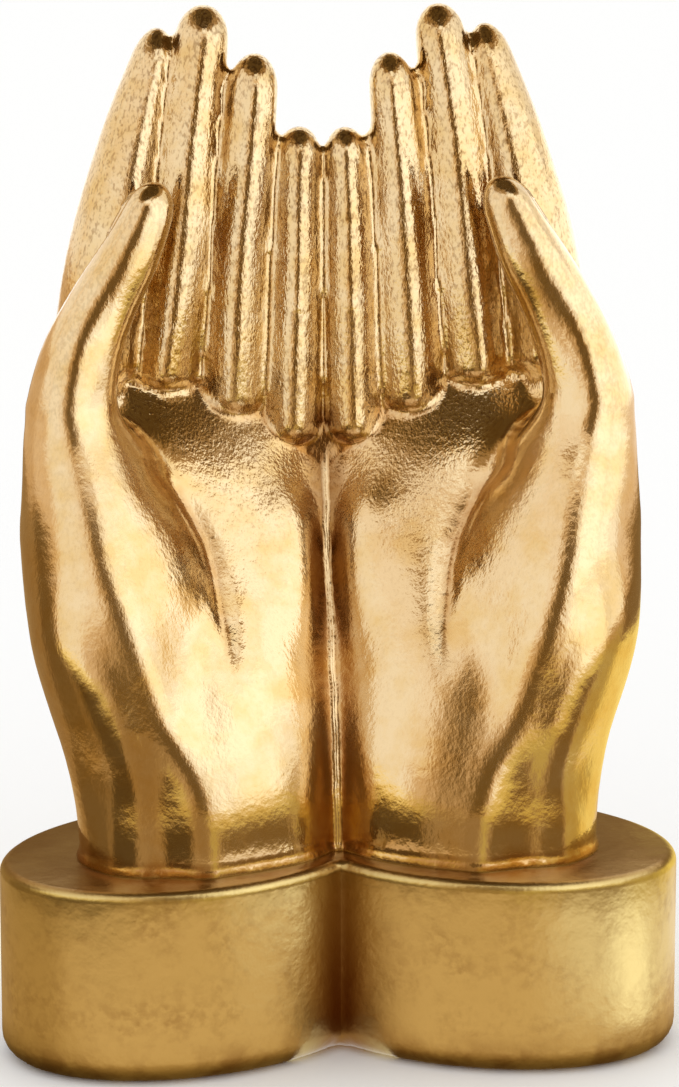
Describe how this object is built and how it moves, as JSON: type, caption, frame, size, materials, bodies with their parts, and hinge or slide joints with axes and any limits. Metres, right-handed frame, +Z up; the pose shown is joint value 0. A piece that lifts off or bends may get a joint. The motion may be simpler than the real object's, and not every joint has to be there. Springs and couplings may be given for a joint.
{
  "type": "holding hands sculpture",
  "caption": "Standing figurine of cupped hands side by side, fingers up and palms to the front, rising from an oval-lobed foot; one casting with a shallow hollow that can hold a small thing.",
  "frame": {"origin": "middle of the flat underside, between the two lobes of the foot", "axes": "+Z up along the fingers, -Y to the front where the palms face, +X to the right seen from the front"},
  "size_m": [0.1266, 0.0685, 0.1908],
  "materials": {
    "gold_leaf": "satin gold leaf over cast resin, slightly grainy"
  },
  "bodies": {
    "root": {"cupped_hands": "gold_leaf"}
  },
  "joints": []
}
